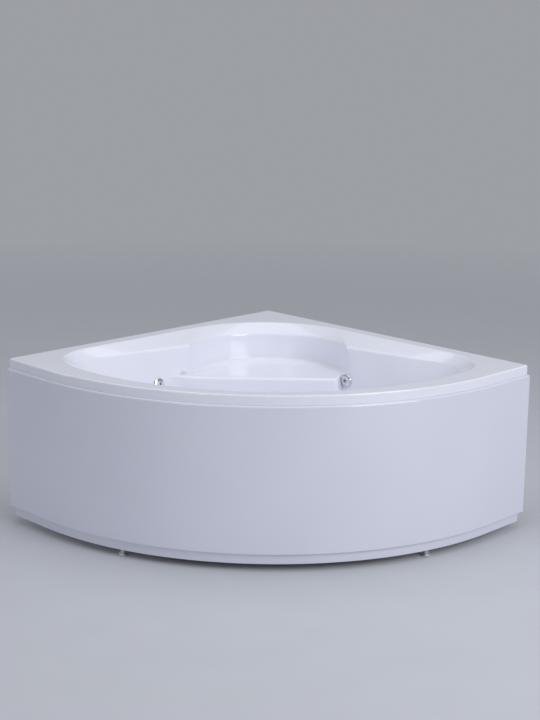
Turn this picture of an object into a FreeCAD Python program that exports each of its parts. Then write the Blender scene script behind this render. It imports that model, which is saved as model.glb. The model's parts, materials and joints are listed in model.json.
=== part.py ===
import FreeCAD, Part
import os
from math import sin, cos, tan, radians, sqrt, pi

os.makedirs("parts", exist_ok=True)

# Corner bath, millimetres. X runs to the right, Y back towards the corner of the room, Z up from the floor.
# While a piece is drawn, Y is 0 at the corner of the room; save() then moves it so that the origin lies
# under the middle of the bath.

# Overall
leg = 1400.0               # length of each side that stands against a wall
height = 650.0             # floor to deck
front_radius = 1150.0      # bow of the front edge of the deck
front_skew = 1.68          # degrees by which the straight ends of the front lean off square to the walls
rim_corner = 10.0          # plan radius of the three outer corners of the deck
wall_skin = 6.0            # reinforced acrylic
lip_drop = 36.0            # depth of the turned-down outer lip
lip_round = 7.0            # rounded top edge of the lip
opening_round = 14.0       # rounded edge where the deck rolls into the basin
crease_round = 18.0        # rounded edge at the foot of the sloped band

# Basin opening in the deck
deck_side = 60.0           # deck width along the walls
opening_back_radius = 420.0
opening_tip_radius = 230.0
opening_front_radius = 951.0
opening_front_y = -1457.0
opening_front_slope = 49.5
floor_front_slope = 38.5

# Band that slopes from the opening down to the upright walls
band_drop = 38.0
seat_radius = 335.0        # half-round niche behind the seat
seat_centre_y = -650.0
shoulder_along = 640.0     # the shoulders, measured along the wall and out from it
shoulder_out = 164.0
wing_end_along = 990.0
wing_end_out = 106.0
band_tip_radius = 175.0
band_front_radius = 896.0
band_front_y = -1402.0

# Seat and floor of the basin
seat_depth = 150.0
seat_cove = 22.0
seat_front_y = -640.0
seat_left_x = -318.0
seat_right_x = 283.0       # the seat stops short on the right and leaves a bay for the jet
seat_corner = 25.0
seat_nose = 14.0           # rounded front edge of the seat
left_bay_y = -590.0        # the gaps between the seat and the wings end here
right_bay_y = -530.0
well_back_y = -512.0
basin_depth = 450.0
floor_shoulder_along = 700.0
floor_shoulder_out = 205.0
floor_wing_along = 930.0
floor_wing_out = 232.0
floor_tip_radius = 150.0
floor_front_radius = 800.0
floor_front_y = -1288.0
floor_cove = 55.0
cove_steps = 4
riser_lean = 40.0          # how far the foot of the seat riser stands forward of its top

# Front panel
panel_proud = 11.7
panel_skin = 4.0
panel_gap = 1.2            # shadow gap between lip and panel
panel_ledge = 26.0
panel_round = 9.0
panel_end_gap = 3.0
kick_line = 64.4
kick_setback = 15.4
strip_bottom = 24.0
strip_inset = 13.0
strip_return = 10.0
panel_end_return = 34.0

# Frame
tube = 30.0
tube_wall = 2.0
board_thick = 18.0
foot_pad_radius = 19.0
foot_pad_height = 10.0
stud_radius = 8.0
stud_clearance = 0.4
nut_thick = 10.0
nut_radius = 14.0
front_foot_left_x = -528.0
front_foot_right_x = 589.0
front_foot_ring = 1126.0   # distance of the front feet from the centre of the front bow
wing_foot_x = 872.0
wing_foot_y = -950.0
back_foot_y = -175.0
side_rail_x = 262.0
side_rail_back_y = -330.0
side_rail_front_y = -1325.0
centre_rail_front_y = -1000.0
panel_post_top = 600.0

# Jets; turned parts are drawn on an axis that points into the basin, with 0 at the face of the wall
jet_below_deck = 174.0
jet_left_along = 790.0
jet_right_along = 632.0
jet_ring_radius = 26.0
jet_barrel_radius = 19.0
jet_bore_radius = 17.0
jet_ball_radius = 13.0
jet_ball_depth = 1.0
jet_chamber_front = -32.0
jet_chamber_back = -62.0

# Waste and overflow
waste_y = -1150.0
waste_radius = 35.0
waste_bore = 20.0
waste_hole = 25.0
overflow_below_deck = 84.0
overflow_radius = 36.0
overflow_hole = 21.0
button_x = 240.0
button_below_deck = 74.0
button_hole = 11.0
pipe_radius = 16.0
drain_radius = 20.0
drain_wall = 2.0
trap_outlet_along = 1035.0
trap_outlet_z = 80.0
trap_radius = 34.0

# Pump, under the seat
pump_y = -430.0
pump_z = 272.0
motor_radius = 62.0
motor_length = 200.0
fin_height = 10.0
volute_radius = 82.0
volute_width = 62.0
suction_z = 300.0
suction_hole = 25.0
manifold_z = 404.0         # level of the pipes from the pump to the jets
port_drop = 46.0           # length of the water port below a jet

# Wall hooks and panel clips
hook_along = 700.0
hook_width = 50.0
hook_plate = 2.0
hook_drop = 60.0
hook_screw_radius = 3.0
hook_screw_inset = 12.0
clip_low = 500.0
clip_high = 598.0
clip_width = 24.0
clip_leaf = 1.5

deck_z = height
root_half = sqrt(0.5)
end_x = leg * root_half
front_slope = 45.0 + front_skew
apex_y = -(end_x + end_x * tan(radians(front_slope)))
bow_centre_y = apex_y + front_radius / cos(radians(front_slope))
front_y = bow_centre_y - front_radius - panel_proud
back_y = -rim_corner * (sqrt(2) - 1)
middle_y = (front_y + back_y) / 2
floor_top = height - basin_depth
riser_height = basin_depth - seat_depth
board_bottom = floor_top - wall_skin - board_thick
upper_rail_z = board_bottom - tube
lower_rail_z = upper_rail_z - tube


def vec(x, y, z=0.0):
    return FreeCAD.Vector(x, y, z)


def save(name, shape):
    placed = shape.copy()
    placed.translate(vec(0, -middle_y))
    placed.exportStep("parts/" + name + ".step")
    box = placed.BoundBox
    print(name, len(placed.Solids), placed.isValid(), round(box.XMin), round(box.XMax), round(box.YMin),
          round(box.YMax), round(box.ZMin), round(box.ZMax))


# ---- plan geometry -------------------------------------------------------------------------------------

def wing(side, along, out):
    """Point on the wing of one side, measured along the wall from the corner and out from the wall."""
    return vec(side * root_half * (along - out), -root_half * (along + out))


def shifted(line, grow):
    """The line moved to its left by grow; outlines run so that left is outwards."""
    start, end = line
    way = (end - start).normalize()
    step = vec(-way.y, way.x) * grow
    return start + step, end + step


def meet(first, second):
    a, b = first
    c, d = second
    u = b - a
    v = d - c
    share = ((c.x - a.x) * v.y - (c.y - a.y) * v.x) / (u.x * v.y - u.y * v.x)
    return a + u * share


def corner_arc(before, vertex, after, radius):
    """Start, middle and end of the arc that rounds a corner."""
    to_before = (before - vertex).normalize()
    to_after = (after - vertex).normalize()
    half = to_before.getAngle(to_after) / 2
    reach = radius / tan(half)
    inward = (to_before + to_after).normalize()
    middle = vertex + inward * (radius / sin(half) - radius)
    return vertex + to_before * reach, middle, vertex + to_after * reach


def rounded(points, radii, z):
    """Closed wire through the points with every corner rounded."""
    count = len(points)
    arcs = [corner_arc(points[i - 1], points[i], points[(i + 1) % count], radii[i]) for i in range(count)]
    edges = []
    for i in range(count):
        start, middle, end = arcs[i]
        edges.append(Part.Arc(start, middle, end).toShape())
        edges.append(Part.makeLine(end, arcs[(i + 1) % count][0]))
    wire = Part.Wire(edges)
    wire.translate(vec(0, 0, z))
    return wire


def polygon(lines, radii, grow, z):
    moved = [shifted(line, grow) for line in lines]
    points = [meet(moved[i - 1], moved[i]) for i in range(len(moved))]
    return rounded(points, [radius + grow for radius in radii], z)


def bow(side, radius, front, slope):
    """Line along the front on one side, for a bow of this radius that reaches this far forward."""
    angle = radians(slope)
    apex = vec(0, front + radius - radius / cos(angle))
    away = vec(side * cos(angle), sin(angle)) * 400
    if side < 0:
        return apex + away, apex
    return apex, apex + away


def rim_outline(grow, z):
    """Outer edge of the deck. The lines run left wall, left front, right front, right wall."""
    tip_left = vec(-end_x, -end_x)
    tip_right = vec(end_x, -end_x)
    apex = vec(0, apex_y)
    lines = [(tip_left, vec(0, 0)), (vec(0, 0), tip_right), (tip_right, apex), (apex, tip_left)]
    radii = [rim_corner, rim_corner, rim_corner, front_radius]
    return polygon(lines, radii, grow, z)


def opening_outline(grow, z):
    """Edge of the basin opening, clockwise from the back."""
    right_wall = (wing(1, 300, deck_side), wing(1, 900, deck_side))
    left_wall = (wing(-1, 900, deck_side), wing(-1, 300, deck_side))
    right_front = bow(1, opening_front_radius, opening_front_y, opening_front_slope)[::-1]
    left_front = bow(-1, opening_front_radius, opening_front_y, opening_front_slope)[::-1]
    lines = [right_wall, right_front, left_front, left_wall]
    radii = [opening_back_radius, opening_tip_radius, opening_front_radius, opening_tip_radius]
    return polygon(lines, radii, grow, z)


def wing_line(side, along, out, end_along, end_out):
    near = wing(side, along, out)
    far = wing(side, end_along, end_out)
    return (near, far) if side > 0 else (far, near)


def circle_meets(line, centre, radius):
    """The crossing of the line with the circle that lies furthest forward."""
    start, end = line
    way = (end - start).normalize()
    foot = start + way * ((centre - start).dot(way))
    half = sqrt(radius ** 2 - (foot - centre).Length ** 2)
    options = [foot + way * half, foot - way * half]
    return min(options, key=lambda point: point.y)


def band_outline(grow, z):
    """Foot of the sloped band: the niche arc from shoulder to shoulder, then wings, tips and bow."""
    right_wing = shifted(wing_line(1, shoulder_along, shoulder_out, wing_end_along, wing_end_out), grow)
    left_wing = shifted(wing_line(-1, shoulder_along, shoulder_out, wing_end_along, wing_end_out), grow)
    right_front = shifted(bow(1, band_front_radius, band_front_y, opening_front_slope)[::-1], grow)
    left_front = shifted(bow(-1, band_front_radius, band_front_y, opening_front_slope)[::-1], grow)
    centre = vec(0, seat_centre_y)
    right_shoulder = circle_meets(right_wing, centre, seat_radius + grow)
    left_shoulder = circle_meets(left_wing, centre, seat_radius + grow)
    right_tip = meet(right_wing, right_front)
    left_tip = meet(left_wing, left_front)
    apex = meet(right_front, left_front)
    tip_r = corner_arc(right_shoulder, right_tip, apex, band_tip_radius + grow)
    front = corner_arc(right_tip, apex, left_tip, band_front_radius + grow)
    tip_l = corner_arc(apex, left_tip, left_shoulder, band_tip_radius + grow)
    back = vec(0, seat_centre_y + seat_radius + grow)
    edges = [Part.Arc(left_shoulder, back, right_shoulder).toShape()]
    edges.append(Part.makeLine(right_shoulder, tip_r[0]))
    edges.append(Part.Arc(*tip_r).toShape())
    edges.append(Part.makeLine(tip_r[2], front[0]))
    edges.append(Part.Arc(*front).toShape())
    edges.append(Part.makeLine(front[2], tip_l[0]))
    edges.append(Part.Arc(*tip_l).toShape())
    edges.append(Part.makeLine(tip_l[2], left_shoulder))
    wire = Part.Wire(edges)
    wire.translate(vec(0, 0, z))
    return wire


def well_outline(wings, fronts, radii, back_line_y, grow, z):
    """Outline of the deep part of the basin; wings and fronts give the lines of the right-hand side."""
    right_wing = wing_line(1, *wings)
    left_wing = wing_line(-1, *wings)
    right_front = bow(1, *fronts)[::-1]
    left_front = bow(-1, *fronts)[::-1]
    back_line = (vec(-200, back_line_y), vec(200, back_line_y))
    lines = [right_wing, right_front, left_front, left_wing, back_line]
    return polygon(lines, radii, grow, z)


def edges_at(shape, test):
    return [edge for edge in shape.Edges if test(edge)]


def level_edge(z):
    """Test for edges that lie flat at one height."""
    return lambda edge: abs(edge.BoundBox.ZMin - z) < 0.01 and abs(edge.BoundBox.ZMax - z) < 0.01


def edges_along(shape, wire):
    """Edges of the shape whose middle lies on the wire."""
    found = []
    for edge in shape.Edges:
        middle = edge.valueAt((edge.FirstParameter + edge.LastParameter) / 2)
        if wire.distToShape(Part.Vertex(middle))[0] < 0.01:
            found.append(edge)
    return found


def slab(wire, thick):
    return Part.Face(wire).extrude(vec(0, 0, thick))


# ---- tub shell -----------------------------------------------------------------------------------------

def seat_block(grow, top, nose):
    """Mass under the seat that stands up into the basin, with a rounded nose along its front edge."""
    bottom = floor_top - 60
    back = seat_centre_y + seat_radius + 120
    spread = riser_lean * (top - bottom) / riser_height

    def outline(out, z):
        left = seat_left_x - out
        right = seat_right_x + out
        front = seat_front_y - out
        points = [vec(left, back), vec(right, back), vec(right, front), vec(left, front)]
        return rounded(points, [seat_corner + grow] * 4, z)

    block = Part.makeLoft([outline(grow + spread, bottom), outline(grow, top)], True, True)
    block = block.makeFillet(nose, edges_at(block, level_edge(top)))
    fills = []
    for x, width, bay_y in ((-560, 360, left_bay_y), (200, 220, right_bay_y)):
        start = vec(x, bay_y - grow, bottom)
        fills.append(Part.makeBox(width, back - start.y, top - bottom, start))
    return block.fuse(fills)


def well(grow):
    """Deep part of the basin: reclined walls, then a cove in flat steps that rolls into the floor."""
    crease_z = deck_z - band_drop
    top_wings = (shoulder_along, shoulder_out, wing_end_along, wing_end_out)
    foot_wings = (floor_shoulder_along, floor_shoulder_out, floor_wing_along, floor_wing_out)
    top_fronts = (band_front_radius, band_front_y, opening_front_slope)
    foot_fronts = (floor_front_radius, floor_front_y, floor_front_slope)
    top_radii = [15, band_tip_radius, band_front_radius, band_tip_radius, 15]
    foot_radii = [75, floor_tip_radius, floor_front_radius, floor_tip_radius, 75]
    sections = []
    for step in range(cove_steps + 1):
        turn = radians(90 - 90 * step / cove_steps)
        spread = (floor_cove + grow) * cos(turn) - floor_cove
        z = floor_top + floor_cove - (floor_cove + grow) * sin(turn)
        sections.append(well_outline(foot_wings, foot_fronts, foot_radii, well_back_y, spread, z))
    sections.append(well_outline(top_wings, top_fronts, top_radii, well_back_y, grow, crease_z - grow))
    return Part.makeLoft(sections, True, True)


def niche(grow):
    """Half-round hollow over the corner seat."""
    low = deck_z - seat_depth - grow
    drum = Part.makeCylinder(seat_radius + grow, deck_z - band_drop + grow - low, vec(0, seat_centre_y, low))
    return drum.makeFillet(seat_cove + grow, edges_at(drum, level_edge(low)))


def basin(grow):
    """The hollow of the basin, or with grow the skin that encloses it."""
    crease_z = deck_z - band_drop
    band = Part.makeLoft([opening_outline(grow, deck_z), band_outline(grow, crease_z - grow)], True, True)
    block = seat_block(-grow, deck_z - seat_depth - grow, seat_nose - grow / 2)
    return band.fuse([niche(grow), well(grow).cut(block)])


def tub_shell():
    deck = slab(rim_outline(0, deck_z - lip_drop), lip_drop)
    deck = deck.makeFillet(lip_round, edges_at(deck, level_edge(deck_z)))
    hollow = slab(rim_outline(-wall_skin, deck_z - lip_drop - 1), lip_drop + 1 - wall_skin)
    hollow = hollow.makeFillet(lip_round - 3, edges_at(hollow, level_edge(deck_z - wall_skin)))
    shell = deck.cut(hollow).fuse(basin(wall_skin))
    shell = shell.cut(basin(0.0)).removeSplitter()
    shell = shell.makeFillet(opening_round, edges_along(shell, opening_outline(0, deck_z)))
    return shell.makeFillet(crease_round, edges_along(shell, band_outline(0, deck_z - band_drop)))


# ---- general shapes ------------------------------------------------------------------------------------

def turned(points):
    """Solid of revolution from a closed outline of (radius, height) points."""
    corners = [vec(radius, 0, height) for radius, height in points]
    face = Part.Face(Part.makePolygon(corners + corners[:1]))
    return face.revolve(vec(0, 0), vec(0, 0, 1), 360)


def rod(radius, start, end):
    return Part.makeCylinder(radius, (end - start).Length, start, end - start)


def ring(outer, inner, low, high):
    return turned([(inner, low), (outer, low), (outer, high), (inner, high)])


def seated(shape, point, axis):
    """Turns a piece drawn on the Z axis so that it points along axis, keeping its local Y as upright."""
    along = FreeCAD.Vector(axis).normalize()
    side = vec(0, 0, 1).cross(along).normalize()
    up = along.cross(side)
    matrix = FreeCAD.Matrix(side.x, up.x, along.x, point.x, side.y, up.y, along.y, point.y,
                            side.z, up.z, along.z, point.z, 0, 0, 0, 1)
    placed = shape.copy()
    placed.Placement = FreeCAD.Placement(matrix).multiply(placed.Placement)
    return placed


def box_tube(start, end, size, wall):
    """Square hollow tube along a straight line, open at both ends."""
    way = (end - start).normalize()
    side = way.cross(vec(0, 0, 1))
    if side.Length < 0.1:
        side = vec(1, 0)
    side = side.normalize()
    up = side.cross(way)

    def loop(half, shift):
        base = start - way * shift
        signs = ((1, 1), (-1, 1), (-1, -1), (1, -1))
        corners = [base + side * half * a + up * half * b for a, b in signs]
        return Part.Face(Part.makePolygon(corners + corners[:1]))

    length = (end - start).Length
    outer = loop(size / 2, 0).extrude(way * length)
    inner = loop(size / 2 - wall, 1).extrude(way * (length + 2))
    return outer.cut(inner)


def bent_path(points, bend):
    """Open wire through the points with each inner corner rounded."""
    edges = []
    last = points[0]
    for i in range(1, len(points) - 1):
        start, middle, end = corner_arc(points[i - 1], points[i], points[i + 1], bend)
        edges.append(Part.makeLine(last, start))
        edges.append(Part.Arc(start, middle, end).toShape())
        last = end
    edges.append(Part.makeLine(last, points[-1]))
    return Part.Wire(edges)


def pipe(points, radius, bend, wall):
    path = bent_path(points, bend)
    way = (points[1] - points[0]).normalize()

    def swept(r):
        start = Part.Wire(Part.makeCircle(r, points[0], way))
        return path.makePipeShell([start], True, False)

    return swept(radius).cut(swept(radius - wall))


def wall_seat(hollow, inside, outside):
    """Where a straight line from inside the basin meets its wall."""
    line = Part.makeLine(inside, outside)
    ends = [vertex.Point for vertex in line.common(hollow).Vertexes]
    return max(ends, key=lambda point: (point - inside).Length)


def wing_seat(hollow, side, along, z):
    """Point on a wing wall and the direction that looks from it into the basin."""
    def at(a, height):
        lift = vec(0, 0, height)
        return wall_seat(hollow, wing(side, a, 420) + lift, wing(side, a, 30) + lift)

    across = at(along + 20, z) - at(along - 5, z)
    rise = at(along, z + 20) - at(along, z - 20)
    axis = across.cross(rise).normalize()
    if axis.dot(wing(side, along, 400) - wing(side, along, 0)) < 0:
        axis = axis * -1
    return at(along, z), axis


def front_seat(hollow, x, z):
    """Point on the front wall of the basin and the direction into the basin."""
    def at(offset, height):
        return wall_seat(hollow, vec(x + offset, -900, height), vec(x + offset, -1500, height))

    across = at(15, z) - at(-15, z)
    rise = at(0, z + 10) - at(0, z - 10)
    axis = across.cross(rise).normalize()
    if axis.y < 0:
        axis = axis * -1
    return at(0, z), axis


# ---- places that several pieces share ------------------------------------------------------------------

hollow = basin(0.0)
deep = well(0.0)
jet_z = deck_z - jet_below_deck
jets = {
    "left": wing_seat(deep, -1, jet_left_along, jet_z),
    "right": wing_seat(deep, 1, jet_right_along, jet_z),
}
overflow = front_seat(hollow, 0, deck_z - overflow_below_deck)
button = front_seat(hollow, button_x, deck_z - button_below_deck)
suction_down = deck_z - seat_depth - suction_z
suction_spot = vec(0, seat_front_y - riser_lean * suction_down / riser_height, suction_z)
suction = (suction_spot, vec(0, -1, riser_lean / riser_height).normalize())
jet_wall_back = {"left": -8.2, "right": -7.4}


def foot_on_ring(x):
    return vec(x, bow_centre_y - sqrt(front_foot_ring ** 2 - x ** 2))


feet = {
    "front_left": foot_on_ring(front_foot_left_x),
    "front_right": foot_on_ring(front_foot_right_x),
    "wing_left": vec(-wing_foot_x, wing_foot_y),
    "wing_right": vec(wing_foot_x, wing_foot_y),
    "back": vec(0, back_foot_y),
}
seats = {**jets, "overflow": overflow, "button": button, "suction": suction}
for name, (point, axis) in seats.items():
    print(name, [round(v, 2) for v in (point.x, point.y - middle_y, point.z)], [round(v, 4) for v in axis])
for name, point in feet.items():
    print("foot", name, round(point.x, 2), round(point.y - middle_y, 2))


# ---- tub shell with its holes --------------------------------------------------------------------------

def drilled_shell():
    shell = tub_shell()
    for point, axis in jets.values():
        shell = shell.cut(rod(jet_barrel_radius + 0.5, point - axis * 40, point + axis * 20))
    for (point, axis), radius in ((overflow, overflow_hole), (button, button_hole), (suction, suction_hole)):
        shell = shell.cut(rod(radius, point - axis * 30, point + axis * 20))
    return shell.cut(rod(waste_hole, vec(0, waste_y, floor_top - 20), vec(0, waste_y, floor_top + 10)))


save("tub_shell", drilled_shell())


# ---- front panel ---------------------------------------------------------------------------------------

def front_path(cut):
    """Front edge of the deck from left to right at floor level, shortened by cut at both ends."""
    left = vec(-end_x, -end_x)
    right = vec(end_x, -end_x)
    apex = vec(0, apex_y)
    start = left + (apex - left).normalize() * cut
    end = right + (apex - right).normalize() * cut
    return bent_path([start, apex, end], front_radius)


def panel_section():
    """Cross-section of the panel as (outward, height) points, from the top ledge round to the foot."""
    top = deck_z - lip_drop - panel_gap
    face = panel_proud
    skin = panel_skin
    set_in = panel_proud - kick_setback
    outer = [(face - panel_ledge, top)]
    outer += [(face - panel_round * (1 - sin(radians(a))), top - panel_round * (1 - cos(radians(a))))
              for a in (0, 30, 60, 90)]
    outer += [(face, kick_line + 2), (face - 2, kick_line), (set_in, kick_line)]
    outer += [(set_in, strip_bottom + 3), (set_in - 1, strip_bottom + 1), (set_in - 3, strip_bottom)]
    inner = [(set_in - strip_return, strip_bottom), (set_in - strip_return, strip_bottom + skin)]
    inner += [(set_in - skin, strip_bottom + skin), (set_in - skin, kick_line + skin)]
    inner += [(face - skin, kick_line + skin), (face - skin, top - panel_round)]
    inner += [(face - skin - 2, top - skin), (face - panel_ledge, top - skin)]
    return outer + inner


def front_panel():
    path = front_path(panel_end_gap)
    start = path.Edges[0].Vertexes[0].Point
    way = (path.Edges[0].Vertexes[-1].Point - start).normalize()
    outward = vec(way.y, -way.x)
    corners = [start + outward * out + vec(0, 0, z) for out, z in panel_section()]
    section = Part.makePolygon(corners + corners[:1])
    panel = path.makePipeShell([section], True, False)
    top = deck_z - lip_drop - panel_gap
    for side in (-1, 1):
        base = vec(side * start.x * -1, start.y)
        run = vec(-side * way.x, way.y)
        out = vec(side * -outward.x, outward.y)
        near = base + out * (panel_proud - panel_skin)
        far = base + out * (panel_proud - panel_end_return)
        flange = [near, near + run * panel_skin, far + run * panel_skin, far]
        plate = Part.Face(Part.makePolygon(flange + flange[:1]))
        plate.translate(vec(0, 0, kick_line))
        panel = panel.fuse(plate.extrude(vec(0, 0, top - panel_skin - kick_line)))
        foot = [base + out * 20, base + out * 20 + run * strip_inset]
        foot += [base - out * 60 + run * strip_inset, base - out * 60]
        trim = Part.Face(Part.makePolygon(foot + foot[:1]))
        panel = panel.cut(trim.extrude(vec(0, 0, kick_line)))
    return panel.removeSplitter()


def spring_clip(post_x, post_y):
    """Bowed leaf on a post that presses against the back of the panel."""
    out = vec(0, -1)
    side = vec(1, 0)
    base = vec(post_x, post_y) + out * (tube / 2)
    panel_back = front_radius + panel_proud - panel_skin
    half = clip_width / 2
    reach = base.y - bow_centre_y + sqrt(panel_back ** 2 - (abs(post_x) + half) ** 2) - 0.3
    leaf = clip_leaf
    crest = clip_low + 46
    profile = [(0, clip_low), (leaf, clip_low), (reach, crest), (reach, crest + 10), (leaf, clip_high)]
    profile += [(0, clip_high), (0, clip_high - 1.7), (reach - 1.6, crest + 9), (reach - 1.6, crest + 1)]
    profile.append((0, clip_low + leaf))
    corners = [base + out * a - side * half + vec(0, 0, z) for a, z in profile]
    return Part.Face(Part.makePolygon(corners + corners[:1])).extrude(side * clip_width)


# ---- frame ---------------------------------------------------------------------------------------------

def level_tube(x1, y1, x2, y2, z):
    """Frame tube lying flat with its underside at this height."""
    return box_tube(vec(x1, y1, z + tube / 2), vec(x2, y2, z + tube / 2), tube, tube_wall)


def stud_hole(point, z):
    return rod(stud_radius + stud_clearance, point + vec(0, 0, z - 1), point + vec(0, 0, z + tube_wall + 1))


def front_cross_rail():
    left = feet["front_left"]
    right = feet["front_right"]
    way = (right - left).normalize() * (tube / 2)
    lift = vec(0, 0, lower_rail_z + tube / 2)
    rail = box_tube(left - way + lift, right + way + lift, tube, tube_wall)
    return rail.cut(stud_hole(left, lower_rail_z)).cut(stud_hole(right, lower_rail_z))


def wing_cross_rail():
    reach = wing_foot_x + tube / 2
    rail = level_tube(-reach, wing_foot_y, reach, wing_foot_y, lower_rail_z)
    for name in ("wing_left", "wing_right"):
        rail = rail.cut(stud_hole(feet[name], lower_rail_z))
    return rail


def back_foot_block():
    y = back_foot_y
    block = level_tube(-30, y, 30, y, lower_rail_z)
    return block.cut(stud_hole(feet["back"], lower_rail_z))


def post(point, low, high):
    return box_tube(point + vec(0, 0, low), point + vec(0, 0, high), tube, tube_wall)


def base_board():
    """Board bonded under the floor of the basin, with a hole for the waste."""
    foot_wings = (floor_shoulder_along, floor_shoulder_out, floor_wing_along, floor_wing_out)
    foot_fronts = (floor_front_radius, floor_front_y, floor_front_slope)
    foot_radii = [95, floor_tip_radius, floor_front_radius, floor_tip_radius, 95]
    back = wing(1, floor_shoulder_along, floor_shoulder_out).y - 45
    outline = well_outline(foot_wings, foot_fronts, foot_radii, back, -floor_cove - 4, board_bottom)
    board = slab(outline, board_thick)
    return board.cut(rod(waste_radius + 12, vec(0, waste_y, board_bottom - 1), vec(0, waste_y, floor_top)))


# ---- feet ----------------------------------------------------------------------------------------------

def levelling_foot(point):
    """Threaded stud with a round pad that has a hexagon for the spanner."""
    pad = turned([(0, 0), (foot_pad_radius - 2, 0), (foot_pad_radius, 2), (foot_pad_radius, 5),
                  (foot_pad_radius - 5, foot_pad_height), (0, foot_pad_height)])
    stud_top = lower_rail_z + tube - tube_wall - 4
    stud = turned([(0, 5), (stud_radius, 5), (stud_radius, stud_top - 2), (stud_radius - 2, stud_top),
                   (0, stud_top)])
    hexagon = prism(6, 12.0, foot_pad_height - 1, 8)
    foot = pad.fuse([stud, hexagon])
    foot.translate(point)
    return foot


def prism(sides, radius, low, thick):
    turns = [2 * pi * i / sides for i in range(sides)]
    corners = [vec(radius * cos(turn), radius * sin(turn), low) for turn in turns]
    return Part.Face(Part.makePolygon(corners + corners[:1])).extrude(vec(0, 0, thick))


def hex_nut(radius, hole, low, thick):
    nut = prism(6, radius, low, thick)
    face = radius * 0.93
    crown = turned([(0, low - 1), (face, low - 1), (face, low), (radius + 1, low + thick * 0.25),
                    (radius + 1, low + thick * 0.75), (face, low + thick), (0, low + thick + 1)])
    return nut.common(crown).cut(Part.makeCylinder(hole, thick + 4, vec(0, 0, low - 2)))


# ---- jets ----------------------------------------------------------------------------------------------

def jet_cover():
    """Domed ring that turns on the barrel and holds the ball."""
    outer = jet_ring_radius
    return turned([(16.6, -12), (16.6, 4.4), (23.6, 4.4), (24.4, 0.8), (outer, 0.8), (outer, 3.2),
                   (outer - 1.2, 5.4), (outer - 4, 7.2), (outer - 9, 8.6), (outer - 13, 9.2), (9.8, 9.2),
                   (9.2, 8.8), (9.6, 8.3), (12.7, 4.3), (14.2, 1.5), (14.2, -12)])


def jet_ball():
    ball = Part.makeSphere(jet_ball_radius, vec(0, 0, -jet_ball_depth))
    bore = turned([(0, -20), (7.5, -20), (4.2, -2), (4.2, 8), (5.5, 16), (0, 16)])
    return ball.cut(bore)


def jet_body():
    """Flanged barrel with the seat for the ball, the mixing chamber behind and the water port below."""
    barrel = turned([(jet_bore_radius, 4.2), (23.2, 4.2), (23.2, 2), (jet_barrel_radius, 2),
                     (jet_barrel_radius, jet_chamber_front), (25, jet_chamber_front - 3),
                     (25, jet_chamber_back + 3), (22, jet_chamber_back), (0, jet_chamber_back),
                     (0, jet_chamber_back + 3), (21, jet_chamber_back + 4), (21, -36), (9, -17.5), (9, -15),
                     (jet_bore_radius, -15)])
    middle = (jet_chamber_front + jet_chamber_back) / 2
    port = Part.makeCylinder(pipe_radius, port_drop, vec(0, 0, middle), vec(0, -1, 0))
    port_bore = Part.makeCylinder(pipe_radius - 3, port_drop + 1, vec(0, 0, middle), vec(0, -1, 0))
    air = Part.makeCylinder(8, 40, vec(0, 0, middle), vec(0, 1, 0))
    air_bore = Part.makeCylinder(5.5, 41, vec(0, 0, middle), vec(0, 1, 0))
    inside = Part.makeCylinder(21, 22, vec(0, 0, middle - 11))
    body = barrel.fuse([port.cut(inside), air.cut(inside)])
    return body.cut(port_bore).cut(air_bore)


def jet_gasket():
    return ring(23, jet_barrel_radius + 0.1, 0.35, 1.9)


def jet_nut(wall_back):
    return hex_nut(26, jet_barrel_radius + 0.05, wall_back - 10, 10)


# ---- waste and overflow --------------------------------------------------------------------------------

def waste_flange():
    """Dished ring in the floor with its threaded barrel and the cross that guides the plug stem."""
    barrel = waste_bore + 4
    body = turned([(waste_bore + 1, -26), (barrel, -26), (barrel, 0.2), (waste_radius - 1, 0.2),
                   (waste_radius, 1.2), (waste_radius - 2, 2.6), (waste_radius - 6, 2.8), (barrel, 0.4),
                   (waste_bore + 1, -4)])
    bars = [Part.makeBox(2 * waste_bore + 3, 3, 4, vec(-waste_bore - 1.5, -1.5, -22))]
    bars.append(Part.makeBox(3, 2 * waste_bore + 3, 4, vec(-1.5, -waste_bore - 1.5, -22)))
    hub = Part.makeCylinder(6, 8, vec(0, 0, -24))
    grid = bars[0].fuse([bars[1], hub]).cut(Part.makeCylinder(3.3, 20, vec(0, 0, -30)))
    return body.fuse(grid)


def waste_plug():
    """Lifting plug: domed cap, seal groove and stem."""
    return turned([(0, 6.2), (8, 6.0), (18, 5.0), (25, 3.2), (26.2, 2.1), (25.0, 1.4), (20, 1.2), (18.5, -2),
                   (16, -3), (16, -5), (18, -6), (14, -8), (3, -9), (3, -42), (0, -42)])


def waste_body():
    """Cup under the board that takes the overflow from the side and drains down into the trap."""
    neck = waste_bore + 4.05
    bore = drain_radius - drain_wall
    cup = turned([(neck, -8.5), (waste_radius + 3, -8.5), (waste_radius + 3, -12), (31, -14), (31, -62),
                  (drain_radius, -70), (drain_radius, -84), (bore, -84), (bore, -69), (28, -61), (28, -27),
                  (neck, -27)])
    inlet = Part.makeCylinder(13, 30, vec(0, -28.5, -46), vec(0, -1, 0))
    inlet_bore = Part.makeCylinder(10.5, 34, vec(0, -25, -46), vec(0, -1, 0))
    return cup.fuse(inlet).cut(inlet_bore)


def trap():
    """Bottle trap with its outlet turned towards the back of the bath."""
    inner = trap_radius - 3
    collar = drain_radius + 0.1
    bottle = turned([(0, 46), (inner, 46), (trap_radius, 50), (trap_radius, 108), (collar + 5.9, 114),
                     (collar + 5.9, 122), (collar, 122), (collar, 112), (inner, 106), (inner, 52),
                     (inner - 2, 49), (0, 49)])
    side = vec(-trap_radius, 0, trap_outlet_z)
    return bottle.cut(rod(drain_radius - drain_wall, side - vec(6, 0), side + vec(14, 0)))


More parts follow.
